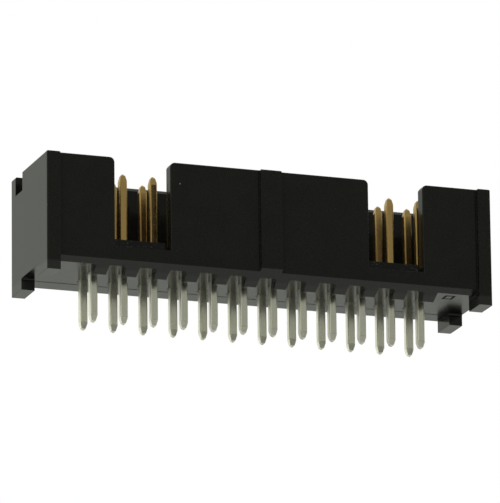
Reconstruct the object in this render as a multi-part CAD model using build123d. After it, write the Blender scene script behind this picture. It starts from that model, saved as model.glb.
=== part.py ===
from build123d import *
import os

# A shrouded pin header: one moulded housing and two rows of square-wire contacts.
# Millimetres. X runs along the rows, +Y points to the back wall, +Z is the mating direction.
# The origin lies in the board plane, on which the four feet stand, at the centre of the contact grid.

# Contact grid
PITCH = 2.54
ROW_SPACING = 2.54
COLUMNS = 12

# Contact: square wire, its edges bevelled and the bevels eased, drawn in to a blunt point at both ends
WIRE = 0.64
WIRE_BEVEL = 0.082
WIRE_EASE = 0.03
TAIL_LENGTH = 3.16
CONTACT_TOP = 9.34
TIP_TAPER = 0.7
TIP_SHOULDER = 0.15
TIP_SHOULDER_WIDTH = 0.37
TIP_WIDTH = 0.1
TAIL_TAPER = 0.65
TAIL_SHOULDER = 0.14
TAIL_SHOULDER_WIDTH = 0.36
TAIL_TIP_WIDTH = 0.1
WING_SPAN = 0.8
WING_LENGTH = 0.95
WING_TOP = 2.25

# Room round a contact in its hole, on each side
HOLE_CLEARANCE = 0.01

# Housing, outside
END_MARGIN = 4.96
FRONT_FACE = 4.5
BACK_FACE = 4.53
STANDOFF = 0.93
WALL_TOP = 9.76
BAND_WIDTH = 1.12
BAND_PROUD = 0.33
RIB_WIDTH = 1.8
FRONT_FOOT_LENGTH = 2.36
BACK_FOOT_LENGTH = 2.63
FOOT_ROOT_RADIUS = 0.12
CORNER_RADIUS = 0.12
RIM_RADIUS = 0.12

# Housing, inside
FRONT_WALL = 1.02
BACK_WALL = 1.14
END_WALL = 1.25
FLOOR_TOP = 2.99
CAVITY_CORNER = 0.3
LEAD_IN = 0.3

# Windows in the front wall, with a blind recess below the sill and a slot at its corner
WINDOW_WIDTH = 4.68
WINDOW_END_MARGIN = 5.79
WINDOW_CORNER = 0.42
RECESS_HEIGHT = 0.6
RECESS_DEPTH = 0.15
SLOT_WIDTH = 0.44
SLOT_HEIGHT = 0.55

# Notches in the top of the end walls, against the back wall
NOTCH_WIDTH = 1.8
NOTCH_DEPTH = 1.6

# Sloping strip along the front bottom edge, and the teeth that carry its slope on downwards
STRIP_HEIGHT = 0.37
STRIP_SLOPE = 1.55
TOOTH_DROP = 0.57
TOOTH_ROOT_WIDTH = 1.14
TOOTH_TIP_WIDTH = 1.0
TOOTH_BACK = 2.55

# Underside: a barely raised land along the back, its rounded rear edge, and a rectangular mark
LAND_DEPTH = 2.11
LAND_PROUD = 0.02
LAND_EDGE_RADIUS = 0.25
MARK_WIDTH = 0.86
MARK_LENGTH = 1.05
MARK_LINE = 0.17
MARK_DEPTH = 0.12
MARK_X = 15.9
MARK_Y = -2.85

HALF_ROW = (COLUMNS - 1) * PITCH / 2
HALF_LENGTH = HALF_ROW + END_MARGIN
CAVITY_LENGTH = 2 * (HALF_LENGTH - END_WALL)
CAVITY_FRONT = -(FRONT_FACE - FRONT_WALL)
CAVITY_BACK = BACK_FACE - BACK_WALL
COLUMN_X = [column * PITCH - HALF_ROW for column in range(COLUMNS)]
ROW_Y = {"front": -ROW_SPACING / 2, "back": ROW_SPACING / 2}
WINDOW_X = HALF_LENGTH - WINDOW_END_MARGIN - WINDOW_WIDTH / 2
FRONT_BAND = -(FRONT_FACE + BAND_PROUD)

# How far a cut runs on past the surface that it opens, and how near counts as the same place
OVERSHOOT = 2.0
NEAR = 0.01


def span(low, high):
    """Middle and size of a stretch between two coordinates."""
    return (low + high) / 2, high - low


def plan(x_low, x_high, y_low, y_high, z):
    """Rectangle at height z, seen from above."""
    x, width = span(x_low, x_high)
    y, depth = span(y_low, y_high)
    return Pos(x, y, z) * Rectangle(width, depth)


def front_view(x_low, x_high, z_low, z_high, y):
    """Rectangle in the upright plane at depth y, seen from the front."""
    x, width = span(x_low, x_high)
    z, height = span(z_low, z_high)
    return Pos(x, y, z) * (Plane.XZ * Rectangle(width, height))


def taper_outline():
    """Outline of a contact seen from one side: both ends draw in gently, then sharply."""
    half = WIRE / 2
    right = [
        (TAIL_TIP_WIDTH / 2, -TAIL_LENGTH),
        (TAIL_SHOULDER_WIDTH / 2, -TAIL_LENGTH + TAIL_SHOULDER),
        (half, -TAIL_LENGTH + TAIL_TAPER),
        (half, CONTACT_TOP - TIP_TAPER),
        (TIP_SHOULDER_WIDTH / 2, CONTACT_TOP - TIP_SHOULDER),
        (TIP_WIDTH / 2, CONTACT_TOP),
    ]
    left = [(-x, z) for x, z in reversed(right)]
    return Polygon(*right, *left, align=None)


def make_contact():
    """One contact, upright on the origin: wire, pointed ends and the wings that hold it in the floor."""
    bevelled = chamfer(Rectangle(WIRE, WIRE).vertices(), WIRE_BEVEL)
    section = chamfer(bevelled.vertices(), WIRE_EASE)
    wire = Pos(0, 0, -TAIL_LENGTH) * extrude(section, TAIL_LENGTH + CONTACT_TOP)
    wire &= extrude(Plane.XZ * taper_outline(), WIRE, both=True)
    wire &= extrude(Plane.YZ * taper_outline(), WIRE, both=True)
    wing = Pos(0, 0, WING_TOP - WING_LENGTH) * Rectangle(WING_SPAN, WIRE - 2 * (WIRE_BEVEL + WIRE_EASE))
    return wire + extrude(wing, WING_LENGTH)


def make_shell():
    """Outer block with the proud bands at its ends and the rib in the middle, open at the top."""
    block = plan(-HALF_LENGTH, HALF_LENGTH, -FRONT_FACE, BACK_FACE, STANDOFF)
    for side in (-1, 1):
        inner, outer = sorted((side * (HALF_LENGTH - BAND_WIDTH), side * HALF_LENGTH))
        block += plan(inner, outer, FRONT_BAND, 0, STANDOFF)
    block += plan(-RIB_WIDTH / 2, RIB_WIDTH / 2, FRONT_BAND, 0, STANDOFF)
    ends = block.vertices().filter_by(lambda v: abs(abs(v.X) - HALF_LENGTH) < NEAR)
    shell = extrude(fillet(ends, CORNER_RADIUS), WALL_TOP - STANDOFF)
    cavity = plan(-CAVITY_LENGTH / 2, CAVITY_LENGTH / 2, CAVITY_FRONT, CAVITY_BACK, FLOOR_TOP)
    shell -= extrude(fillet(cavity.vertices(), CAVITY_CORNER), WALL_TOP + OVERSHOOT - FLOOR_TOP)
    rim = shell.faces().sort_by(Axis.Z)[-1].inner_wires()[0].edges()
    return chamfer(rim, LEAD_IN)


def round_rim(shell):
    """Rounds the outer top edges, and carries the rounding down the front of each window."""
    def outer_rim(edge):
        middle = edge.center()
        in_front = middle.Y < -FRONT_FACE + NEAR
        behind = middle.Y > BACK_FACE - NEAR
        at_end = abs(middle.X) > HALF_LENGTH - CORNER_RADIUS
        return abs(middle.Z - WALL_TOP) < NEAR and (in_front or behind or at_end)

    def window_front(edge):
        middle = edge.center()
        in_face = abs(middle.Y + FRONT_FACE) < NEAR
        beside = abs(abs(middle.X) - WINDOW_X) < WINDOW_WIDTH / 2 + WINDOW_CORNER
        return in_face and beside and FLOOR_TOP < middle.Z < WALL_TOP - NEAR

    edges = shell.edges()
    return fillet(edges.filter_by(outer_rim) + edges.filter_by(window_front), RIM_RADIUS)


def slope_outline(drop):
    """Profile of the front bottom edge: the slope, carried down past the underside by a drop."""
    top = STANDOFF + STRIP_HEIGHT
    run = STRIP_SLOPE * (STRIP_HEIGHT + drop)
    return (-FRONT_FACE, top), (-FRONT_FACE + run, top - STRIP_HEIGHT - drop)


def cut_slope(shell):
    """Bevels the front bottom edge between the end bands, across the rib too."""
    high, low = slope_outline(0)
    outside = -FRONT_FACE - 2 * BAND_PROUD
    raised = high[1] + (high[0] - outside) / STRIP_SLOPE
    wedge = Polygon((outside, STANDOFF), low, high, (outside, raised), align=None)
    length = 2 * (HALF_LENGTH - BAND_WIDTH)
    return shell - extrude(Plane.YZ * wedge, length / 2, both=True)


def make_tooth():
    """One tooth under the front edge, at column zero: sloping front, flanks that draw in downwards."""
    root, tip = slope_outline(TOOTH_DROP)
    profile = Polygon(root, tip, (-TOOTH_BACK, tip[1]), (-TOOTH_BACK, root[1]), align=None)
    flanks = Polygon(
        (-TOOTH_ROOT_WIDTH / 2, STANDOFF),
        (-TOOTH_TIP_WIDTH / 2, tip[1]),
        (TOOTH_TIP_WIDTH / 2, tip[1]),
        (TOOTH_ROOT_WIDTH / 2, STANDOFF),
        align=None,
    )
    tooth = extrude(Plane.YZ * profile, TOOTH_ROOT_WIDTH, both=True)
    return tooth & extrude(Plane.XZ * flanks, FRONT_FACE, both=True)


def make_foot(side, y_low, y_high):
    """One corner foot, below the end of the housing on the given side."""
    inner, outer = sorted((side * (HALF_LENGTH - BAND_WIDTH), side * HALF_LENGTH))
    base = plan(inner, outer, y_low, y_high, 0)
    corner_y = max(y_low, y_high, key=abs)
    corner = base.vertices().filter_by(
        lambda v: abs(abs(v.X) - HALF_LENGTH) < NEAR and abs(v.Y - corner_y) < NEAR
    )
    return extrude(fillet(corner, CORNER_RADIUS), STANDOFF)


def window_cut(x):
    """Everything a window takes out of the front wall, its rounded top corners included."""
    low = x - WINDOW_WIDTH / 2
    high = x + WINDOW_WIDTH / 2
    opening = front_view(low, high, FLOOR_TOP, WALL_TOP + OVERSHOOT, CAVITY_FRONT)
    mouth = front_view(low - OVERSHOOT, high + OVERSHOOT, WALL_TOP, WALL_TOP + OVERSHOOT, CAVITY_FRONT)
    corners = (opening + mouth).vertices().filter_by(
        lambda v: abs(v.Z - WALL_TOP) < NEAR and abs(abs(v.X - x) - WINDOW_WIDTH / 2) < NEAR
    )
    through = FRONT_WALL + 2 * BAND_PROUD
    cut = Pos(0, LEAD_IN, 0) * extrude(fillet(corners, WINDOW_CORNER), through + LEAD_IN)

    recess = front_view(low, high, FLOOR_TOP - RECESS_HEIGHT, FLOOR_TOP, -FRONT_FACE + RECESS_DEPTH)
    slot = front_view(high - SLOT_WIDTH, high, FLOOR_TOP - SLOT_HEIGHT, FLOOR_TOP, CAVITY_FRONT)
    cut += extrude(recess, RECESS_DEPTH + BAND_PROUD)
    cut += extrude(slot, through)
    return cut


def notch_cut(side):
    """Slot in the top of one end wall, with the back wall as its rear side."""
    inner, outer = sorted((side * (HALF_LENGTH - 2 * END_WALL), side * (HALF_LENGTH + END_WALL)))
    floor = plan(inner, outer, CAVITY_BACK - NOTCH_WIDTH, CAVITY_BACK, WALL_TOP - NOTCH_DEPTH)
    return extrude(floor, NOTCH_DEPTH + OVERSHOOT)


def contact_hole():
    """Hole in the floor for one contact: a square bore above, a wider slot for the wings below."""
    across = WIRE + 2 * HOLE_CLEARANCE
    bore = extrude(Pos(0, 0, WING_TOP) * Rectangle(across, across), FLOOR_TOP + OVERSHOOT - WING_TOP)
    slot = Rectangle(WING_SPAN + 2 * HOLE_CLEARANCE, across)
    return bore + extrude(Pos(0, 0, STANDOFF - OVERSHOOT) * slot, WING_TOP - STANDOFF + OVERSHOOT)


def round_foot_roots(housing):
    """Rounds the inner corner between the underside and the front of each back foot."""
    def root(edge):
        middle = edge.center()
        at_foot = abs(abs(middle.X) - HALF_LENGTH + BAND_WIDTH / 2) < BAND_WIDTH / 4
        at_front = abs(middle.Y - BACK_FACE + BACK_FOOT_LENGTH) < NEAR
        return at_foot and at_front and abs(middle.Z - STANDOFF) < NEAR

    return fillet(housing.edges().filter_by(root), FOOT_ROOT_RADIUS)


def add_land(housing):
    """Adds the raised land under the back of the floor and rounds its rear edge."""
    end = HALF_LENGTH - BAND_WIDTH
    underside = STANDOFF - LAND_PROUD
    land = plan(-end, end, BACK_FACE - LAND_DEPTH, BACK_FACE, underside)
    housing += extrude(land, LAND_PROUD)

    def rear_edge(edge):
        middle = edge.center()
        return abs(middle.Y - BACK_FACE) < NEAR and abs(middle.Z - underside) < NEAR

    return fillet(housing.edges().filter_by(rear_edge), LAND_EDGE_RADIUS)


def make_housing():
    shell = make_shell()
    for side in (-1, 1):
        shell -= window_cut(side * WINDOW_X)
        shell -= notch_cut(side)
    housing = cut_slope(round_rim(shell))
    for side in (-1, 1):
        housing += make_foot(side, FRONT_BAND, FRONT_BAND + FRONT_FOOT_LENGTH)
        housing += make_foot(side, BACK_FACE - BACK_FOOT_LENGTH, BACK_FACE)
    housing = round_foot_roots(housing)
    housing = add_land(housing)
    for x in COLUMN_X:
        housing += Pos(x, 0, 0) * make_tooth()
    for y in ROW_Y.values():
        for x in COLUMN_X:
            housing -= Pos(x, y, 0) * contact_hole()

    mark = Rectangle(MARK_WIDTH, MARK_LENGTH)
    mark -= Rectangle(MARK_WIDTH - 2 * MARK_LINE, MARK_LENGTH - 2 * MARK_LINE)
    housing -= extrude(Pos(MARK_X, MARK_Y, STANDOFF) * mark, MARK_DEPTH)
    return housing


os.makedirs("parts", exist_ok=True)

export_step(make_housing(), "parts/housing.step")

contact = make_contact()
for row, y in ROW_Y.items():
    for column, x in enumerate(COLUMN_X, start=1):
        export_step(Pos(x, y, 0) * contact, f"parts/contact_{row}_{column:02d}.step")
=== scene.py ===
import math

import bpy
from mathutils import Matrix, Vector


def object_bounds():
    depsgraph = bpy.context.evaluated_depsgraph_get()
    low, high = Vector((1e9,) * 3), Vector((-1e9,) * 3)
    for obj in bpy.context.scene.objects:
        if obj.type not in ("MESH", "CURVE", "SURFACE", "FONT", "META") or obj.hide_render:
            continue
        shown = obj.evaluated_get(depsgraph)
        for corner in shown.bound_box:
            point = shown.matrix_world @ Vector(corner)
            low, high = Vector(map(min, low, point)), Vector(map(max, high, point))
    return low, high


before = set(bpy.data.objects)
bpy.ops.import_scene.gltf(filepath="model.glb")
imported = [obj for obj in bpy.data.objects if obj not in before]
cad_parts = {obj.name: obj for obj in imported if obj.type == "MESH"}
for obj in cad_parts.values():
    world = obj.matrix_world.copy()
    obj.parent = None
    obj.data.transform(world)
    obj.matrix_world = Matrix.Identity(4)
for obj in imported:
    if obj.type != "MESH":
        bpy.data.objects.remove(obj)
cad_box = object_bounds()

MM = 0.001

# The photograph's frame and view
IMAGE_WIDTH, IMAGE_HEIGHT = 500, 503
SENSOR = 36.0
FOCAL_PIXELS = 6521.3
VIEW_AZIMUTH = math.radians(-19.884)
VIEW_ELEVATION = math.radians(-15.667)
VIEW_ROLL = math.radians(-0.673)
VIEW_DISTANCE = 526.6 * MM
VIEW_CENTRE = Vector((-0.234, -0.236, 4.15)) * MM

# How far the edges of all pieces are softened, and how finely
EDGE_RADIUS = 0.05 * MM
EDGE_SAMPLES = 6

# The plastic: its colours (a pair is what a pattern varies between) and how smooth it is
BLACK = ((0.0052, 0.0052, 0.0041, 1.0), (0.0094, 0.0094, 0.0076, 1.0))
# The next pair is a painted shade for the window recesses, darker than the black, and the lighter scuffs
# there
SHADE_AND_SCUFFS = ((0.0045, 0.0045, 0.0043, 1.0), (0.026, 0.026, 0.024, 1.0))
# The next colour is a painted light from below, lighter than the black, for the feet and the lowest faces
LOW_PAINTED_LIGHT = (0.019, 0.019, 0.017, 1.0)
DUST = (0.16, 0.16, 0.15, 1.0)
PLASTIC_ROUGH = (0.10, 0.14)
DRAG_ROUGH = 0.03
DOWNWARD_ROUGH = 0.09
DUST_ROUGH = 0.7
PLASTIC_IOR = 1.3

# The patterns on the plastic: their sizes from broad to fine, the dust's as a fraction of its spacing, the
# share of places with a speck, and the strength and depth of the relief
CLOUD_SIZE = 2.2 * MM
DRAG_SIZE = 0.3 * MM
SPECKLE_SIZE = 0.15 * MM
DASH_SIZE = 0.12 * MM
GRAIN_SIZE = 0.05 * MM
DUST_SPACING, DUST_SIZE, DUST_SHARE = 1.1 * MM, 0.07, 0.05
WAVY_RELIEF = (0.18, 0.02 * MM)
GRAIN_RELIEF = (0.08, 0.003 * MM)

# The feet and the other lowest faces are painted lighter, a painted light from below, from the first of these
# heights down to the second
PAINTED_LIGHT_FROM, PAINTED_LIGHT_TO = 0.85 * MM, 0.6 * MM

# The sills and recesses below the two windows, where the plastic gets a painted shade with lighter scuffs:
# the middle of each, to the left and right of the centre, and half its size; the plane from which it runs
# forward; how softly it fades
RECESS_X, RECESS_HALF_WIDTH = 10.8 * MM, 2.25 * MM
RECESS_Z, RECESS_HALF_HEIGHT = 2.7 * MM, 0.3 * MM
RECESS_Y = -4.1 * MM
MASK_FADE = 0.1 * MM

# The wire: gold above GOLD_END, inside the floor, and tin below it. The rolled front and back faces of the
# tin are bright, its cut sides are duller, and the tips are dull from where they begin to taper.
GOLD_END = 2.3 * MM
GOLD_FADE = 0.2 * MM
TIP_FROM, TIP_TO = -2.43 * MM, -2.63 * MM
GOLD = ((0.54, 0.355, 0.13, 1.0), (0.64, 0.43, 0.17, 1.0))
TIN = ((0.79, 0.775, 0.65, 1.0), (0.86, 0.845, 0.72, 1.0))
GOLD_ROUGH = (0.19, 0.24)
TIN_ROUGH = (0.18, 0.23)
LINES_ROUGH = 0.03
GOLD_METALLIC = 0.96
TIN_METALLIC, TIN_SIDE_METALLIC, TIP_METALLIC = 0.92, 0.58, 0.28

# The patterns on the wire: their sizes, and the strength and depth of the relief
WIRE_CLOUD_SIZE = 0.5 * MM
LINE_SIZE = 0.035 * MM
WIRE_GRAIN_SIZE = 0.03 * MM
LINE_RELIEF = (0.06, 0.005 * MM)
WIRE_GRAIN_RELIEF = (0.05, 0.003 * MM)

# The floor: half its side, how far it lies below the tips of the tails, and its colours
FLOOR_HALF = 0.9
FLOOR_GAP = 0.02 * MM
FLOOR_COLOURS = ((0.80, 0.80, 0.79, 1.0), (0.78, 0.78, 0.77, 1.0))
FLOOR_CLOUD_SIZE = 50.0 * MM
FLOOR_ROUGH = 0.7

# The soft light all round, in a room that the camera sees as white
ROOM_LEVEL = 0.35
WHITE = (1.0, 1.0, 1.0, 1.0)

# The room as the part mirrors it: its tint, its level at the sides and above, and what it gains downward,
# from just under the horizon to straight below
ROOM_TINT = (0.96, 1.0, 0.90, 1.0)
MIRRORED_LEVEL = 0.68
BELOW_GAIN = 0.42
BELOW_FROM, BELOW_TO = -0.05, -1.0

# Dimmer parts of the mirrored room: direction, cosines where the dimming begins and is full, factor there.
# The first is the room's whole front, and the others are small screens low behind and low in front.
DIM_PARTS = (
    ((0.33, -0.90, 0.27), 0.35, 0.95, 0.50),
    ((-0.33, 0.90, -0.27), 0.965, 0.995, 0.25),
    ((0.33, -0.90, -0.27), 0.90, 0.98, 0.50),
)

# The lamps: name, direction from the object, distance, width, height, watts
LAMPS = (
    ("key_lamp", (-0.45, -0.55, 0.9), 0.8, 0.5, 0.5, 3.4),
    ("back_lamp", (-0.35, 0.8, 0.8), 0.8, 0.6, 0.6, 2.6),
    ("side_lamp", (-0.95, 0.25, 0.045), 0.9, 0.3, 0.07, 6.8),
)


def add(tree, kind, settings=None, inputs=None):
    """Adds one shader node. A socket given as an input is linked, and any other value is set."""
    node = tree.nodes.new("ShaderNode" + kind)
    for name, value in (settings or {}).items():
        setattr(node, name, value)
    for name, value in (inputs or {}).items():
        if isinstance(value, bpy.types.NodeSocket):
            tree.links.new(value, node.inputs[name])
        else:
            node.inputs[name].default_value = value
    return node


def math_node(tree, operation, *values):
    return add(tree, "Math", {"operation": operation}, dict(enumerate(values))).outputs[0]


def product(tree, first, *others):
    for other in others:
        first = math_node(tree, "MULTIPLY", first, other)
    return first


def coordinate(tree, vector, axis):
    """The X, Y or Z of a vector."""
    return add(tree, "SeparateXYZ", None, {0: vector}).outputs[axis]


def remap(tree, value, low, high, to_low=0.0, to_high=1.0):
    """Carries low..high smoothly to to_low..to_high, and holds it there beyond."""
    inputs = {"Value": value, "From Min": low, "From Max": high, "To Min": to_low, "To Max": to_high}
    return add(tree, "MapRange", {"interpolation_type": "SMOOTHSTEP"}, inputs).outputs["Result"]


def vary(tree, pattern, to_low, to_high):
    """Carries the middle range of a noise to to_low..to_high."""
    return remap(tree, pattern, 0.3, 0.7, to_low, to_high)


def within(tree, value, middle, half):
    """One no further than half from the middle, fading to zero beyond."""
    off = math_node(tree, "ABSOLUTE", math_node(tree, "SUBTRACT", value, middle))
    return remap(tree, off, half + MASK_FADE, half)


def mix_value(tree, factor, first, second):
    return add(tree, "Mix", None, {0: factor, 2: first, 3: second}).outputs[0]


def mix_colour(tree, factor, first, second):
    node = add(tree, "Mix", {"data_type": "RGBA"}, {0: factor, 6: first, 7: second})
    return node.outputs[2]


def noise(tree, place, feature, stretch=(1.0, 1.0, 1.0), detail=4.0):
    """Noise with features about this large, in metres, drawn out by stretch along each axis."""
    scale = Vector(1.0 / (feature * s) for s in stretch)
    scaled = add(tree, "VectorMath", {"operation": "MULTIPLY"}, {0: place, 1: scale}).outputs[0]
    return add(tree, "TexNoise", None, {"Vector": scaled, "Scale": 1.0, "Detail": detail}).outputs["Fac"]


def flecks(tree, place, spacing, size, share):
    """Round spots in this share of the cells of a jittered grid. Their size is a fraction of its spacing."""
    cells = add(tree, "TexVoronoi", {"feature": "F1"}, {"Vector": place, "Scale": 1.0 / spacing})
    spot = remap(tree, cells.outputs["Distance"], size, size * 0.5)
    chosen = add(tree, "SeparateColor", None, {0: cells.outputs["Color"]}).outputs[0]
    return product(tree, spot, math_node(tree, "LESS_THAN", chosen, share))


def material(name):
    """Makes a material, and returns it with its node tree, its shader and the place on the object."""
    made = bpy.data.materials.new(name)
    made.use_nodes = True
    tree = made.node_tree
    place = add(tree, "TexCoord").outputs["Object"]
    return made, tree, tree.nodes["Principled BSDF"], place


def object_normal(tree):
    return add(tree, "TexCoord").outputs["Normal"]


def softened_edges(tree):
    return add(tree, "Bevel", {"samples": EDGE_SAMPLES}, {"Radius": EDGE_RADIUS}).outputs[0]


def bump(tree, height, relief, under):
    """A surface normal with a pattern's relief laid over another normal."""
    strength, depth = relief
    inputs = {"Height": height, "Strength": strength, "Distance": depth, "Normal": under}
    return add(tree, "Bump", None, inputs).outputs["Normal"]


def facing_down(tree):
    """One on the faces that look straight down, zero on all others."""
    return remap(tree, coordinate(tree, object_normal(tree), "Z"), -0.90, -0.98)


def recess_mask(tree, place):
    """One on the sills and recesses of the two windows, zero elsewhere."""
    off_centre = math_node(tree, "ABSOLUTE", coordinate(tree, place, "X"))
    across = within(tree, off_centre, RECESS_X, RECESS_HALF_WIDTH)
    low = within(tree, coordinate(tree, place, "Z"), RECESS_Z, RECESS_HALF_HEIGHT)
    front = remap(tree, coordinate(tree, place, "Y"), RECESS_Y + MASK_FADE, RECESS_Y - MASK_FADE)
    return product(tree, across, low, front)


def housing_plastic():
    """Glossy black moulded plastic: wavy, speckled, a little dusty, painted shade with scuffs in the
    recesses, painted light on the feet.
    """
    made, tree, shader, place = material("gloss_plastic")
    clouds = noise(tree, place, CLOUD_SIZE)
    drag = noise(tree, place, DRAG_SIZE, stretch=(1.0, 1.0, 16.0), detail=3.0)
    speckle = noise(tree, place, SPECKLE_SIZE, detail=3.0)
    dashes = noise(tree, place, DASH_SIZE, stretch=(3.0, 1.0, 1.0), detail=2.0)
    grain = noise(tree, place, GRAIN_SIZE, detail=2.0)
    dust = flecks(tree, place, DUST_SPACING, DUST_SIZE, DUST_SHARE)

    film = product(tree, vary(tree, clouds, 0.5, 1.0), remap(tree, speckle, 0.35, 0.65, 0.3, 1.0))
    black = mix_colour(tree, film, *BLACK)
    # Painted light: the feet and the other lowest faces are painted lighter, as if lit from below
    feet = remap(tree, coordinate(tree, place, "Z"), PAINTED_LIGHT_FROM, PAINTED_LIGHT_TO)
    painted_light = product(tree, feet, remap(tree, clouds, 0.2, 0.6, 0.6, 1.0))
    black_painted_lighter = mix_colour(tree, painted_light, black, LOW_PAINTED_LIGHT)
    dusty = mix_colour(tree, dust, black_painted_lighter, DUST)
    # Painted shade: the window recesses are painted darker than the black, with lighter scuffs
    shade_and_scuffs = mix_colour(tree, remap(tree, dashes, 0.60, 0.68), *SHADE_AND_SCUFFS)
    colour = mix_colour(tree, recess_mask(tree, place), dusty, shade_and_scuffs)
    tree.links.new(colour, shader.inputs["Base Color"])

    dragged = vary(tree, drag, 0.0, DRAG_ROUGH)
    rough = math_node(tree, "ADD", vary(tree, clouds, *PLASTIC_ROUGH), dragged)
    rough = math_node(tree, "ADD", rough, product(tree, facing_down(tree), DOWNWARD_ROUGH))
    rough = math_node(tree, "MAXIMUM", rough, product(tree, dust, DUST_ROUGH))
    tree.links.new(rough, shader.inputs["Roughness"])

    wavy = bump(tree, clouds, WAVY_RELIEF, softened_edges(tree))
    tree.links.new(bump(tree, grain, GRAIN_RELIEF, wavy), shader.inputs["Normal"])
    shader.inputs["IOR"].default_value = PLASTIC_IOR
    return made


def contact_metal():
    """Square wire: gold flash on the mating end, tin on the tail, with fine lines along the wire."""
    made, tree, shader, place = material("plated_wire")
    clouds = noise(tree, place, WIRE_CLOUD_SIZE)
    lines = noise(tree, place, LINE_SIZE, stretch=(1.0, 1.0, 40.0), detail=2.0)
    grain = noise(tree, place, WIRE_GRAIN_SIZE, detail=2.0)
    height = coordinate(tree, place, "Z")
    gilded = remap(tree, height, GOLD_END - GOLD_FADE, GOLD_END + GOLD_FADE)
    tip = remap(tree, height, TIP_FROM, TIP_TO)

    gold = mix_colour(tree, clouds, *GOLD)
    tin = mix_colour(tree, clouds, *TIN)
    tree.links.new(mix_colour(tree, gilded, tin, gold), shader.inputs["Base Color"])

    tin_rough = vary(tree, clouds, *TIN_ROUGH)
    gold_rough = vary(tree, clouds, *GOLD_ROUGH)
    rough = mix_value(tree, gilded, tin_rough, gold_rough)
    lined = math_node(tree, "ADD", rough, vary(tree, lines, 0.0, LINES_ROUGH))
    tree.links.new(lined, shader.inputs["Roughness"])

    sideways = math_node(tree, "ABSOLUTE", coordinate(tree, object_normal(tree), "X"))
    tin_metallic = remap(tree, sideways, 0.6, 0.9, TIN_METALLIC, TIN_SIDE_METALLIC)
    dull_tipped = mix_value(tree, tip, tin_metallic, TIP_METALLIC)
    metallic = mix_value(tree, gilded, dull_tipped, GOLD_METALLIC)
    tree.links.new(metallic, shader.inputs["Metallic"])

    drawn = bump(tree, lines, LINE_RELIEF, softened_edges(tree))
    tree.links.new(bump(tree, grain, WIRE_GRAIN_RELIEF, drawn), shader.inputs["Normal"])
    return made


def reflection_rays(tree):
    """One for rays that come off or through a surface, zero for the camera's own and for soft light."""
    path = add(tree, "LightPath").outputs
    return math_node(tree, "MAXIMUM", path["Is Glossy Ray"], path["Is Transmission Ray"])


def camera_rays(tree):
    return add(tree, "LightPath").outputs["Is Camera Ray"]


def studio_floor():
    """A pale floor at the tips of the tails. The camera sees through it from below, reflections always do."""
    level = cad_box[0].z - FLOOR_GAP
    mesh = bpy.data.meshes.new("studio_floor")
    corners = ((-1, -1), (1, -1), (1, 1), (-1, 1))
    mesh.from_pydata([(x * FLOOR_HALF, y * FLOOR_HALF, level) for x, y in corners], [], [(0, 1, 2, 3)])
    floor = bpy.data.objects.new("studio_floor", mesh)
    bpy.context.scene.collection.objects.link(floor)

    made, tree, shader, place = material("studio_floor")
    shade = mix_colour(tree, noise(tree, place, FLOOR_CLOUD_SIZE), *FLOOR_COLOURS)
    tree.links.new(shade, shader.inputs["Base Color"])
    shader.inputs["Roughness"].default_value = FLOOR_ROUGH
    from_below = add(tree, "NewGeometry").outputs["Backfacing"]
    seen_through = product(tree, from_below, camera_rays(tree))
    clear = add(tree, "BsdfTransparent").outputs[0]
    share = math_node(tree, "MAXIMUM", seen_through, reflection_rays(tree))
    surface = add(tree, "MixShader", None, {0: share, 1: shader.outputs[0], 2: clear}).outputs[0]
    tree.links.new(surface, tree.nodes["Material Output"].inputs["Surface"])
    mesh.materials.append(made)


def dimming(tree, direction, centre, outer, inner, factor):
    """One, turning softly to this factor about a centre, from the cosine outer to the cosine inner."""
    pair = {0: direction, 1: Vector(centre).normalized()}
    near = add(tree, "VectorMath", {"operation": "DOT_PRODUCT"}, pair).outputs["Value"]
    return remap(tree, near, outer, inner, 1.0, factor)


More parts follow.
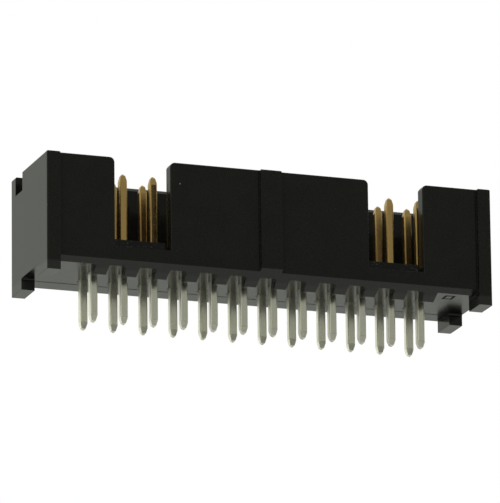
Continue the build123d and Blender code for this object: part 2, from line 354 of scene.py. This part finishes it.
def studio_world():
    """Soft light all round. The camera sees white, and reflections see the room's bright and dim parts."""
    world = bpy.data.worlds.new("studio")
    world.use_nodes = True
    bpy.context.scene.world = world
    tree = world.node_tree
    direction = add(tree, "TexCoord").outputs["Generated"]
    height = coordinate(tree, direction, "Z")
    brightest = MIRRORED_LEVEL + BELOW_GAIN
    room = remap(tree, height, BELOW_FROM, BELOW_TO, MIRRORED_LEVEL, brightest)
    for part in DIM_PARTS:
        room = product(tree, room, dimming(tree, direction, *part))
    mirrored = reflection_rays(tree)
    level = mix_value(tree, mirrored, ROOM_LEVEL, room)
    strength = math_node(tree, "MAXIMUM", level, camera_rays(tree))
    background = tree.nodes["Background"]
    tree.links.new(strength, background.inputs["Strength"])
    tree.links.new(mix_colour(tree, mirrored, WHITE, ROOM_TINT), background.inputs["Color"])


def soft_lamp(name, towards, distance, width, height, watts):
    """A large lamp in this direction from the object, facing it and left out of reflections."""
    light = bpy.data.lights.new(name, "AREA")
    light.shape = "RECTANGLE"
    light.size = width
    light.size_y = height
    light.energy = watts
    lamp = bpy.data.objects.new(name, light)
    lamp.visible_glossy = False
    outward = Vector(towards).normalized()
    lamp.location = outward * distance
    lamp.rotation_mode = "QUATERNION"
    lamp.rotation_quaternion = (-outward).to_track_quat("-Z", "Y")
    bpy.context.scene.collection.objects.link(lamp)


def photo_camera():
    """The camera of the photograph: below the board plane and to the left, with a long lens."""
    azimuth, elevation, roll = VIEW_AZIMUTH, VIEW_ELEVATION, VIEW_ROLL
    flat = math.cos(elevation)
    forward = Vector((-math.sin(azimuth) * flat, math.cos(azimuth) * flat, -math.sin(elevation)))
    level = Vector((math.cos(azimuth), math.sin(azimuth), 0.0))
    upward = level.cross(forward)
    right = level * math.cos(roll) + upward * math.sin(roll)
    top = upward * math.cos(roll) - level * math.sin(roll)
    data = bpy.data.cameras.new("photo_camera")
    data.sensor_width = SENSOR
    data.lens = FOCAL_PIXELS * SENSOR / max(IMAGE_WIDTH, IMAGE_HEIGHT)
    camera = bpy.data.objects.new("photo_camera", data)
    turned = Matrix((right, top, -forward)).transposed().to_4x4()
    camera.matrix_world = Matrix.Translation(VIEW_CENTRE - forward * VIEW_DISTANCE) @ turned
    bpy.context.scene.collection.objects.link(camera)
    bpy.context.scene.camera = camera


plastic, metal = housing_plastic(), contact_metal()
for name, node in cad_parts.items():
    for slot in node.material_slots:
        slot.material = plastic if name == "housing" else metal

studio_floor()
studio_world()
for lamp in LAMPS:
    soft_lamp(*lamp)
photo_camera()
bpy.context.scene.view_settings.view_transform = "Standard"
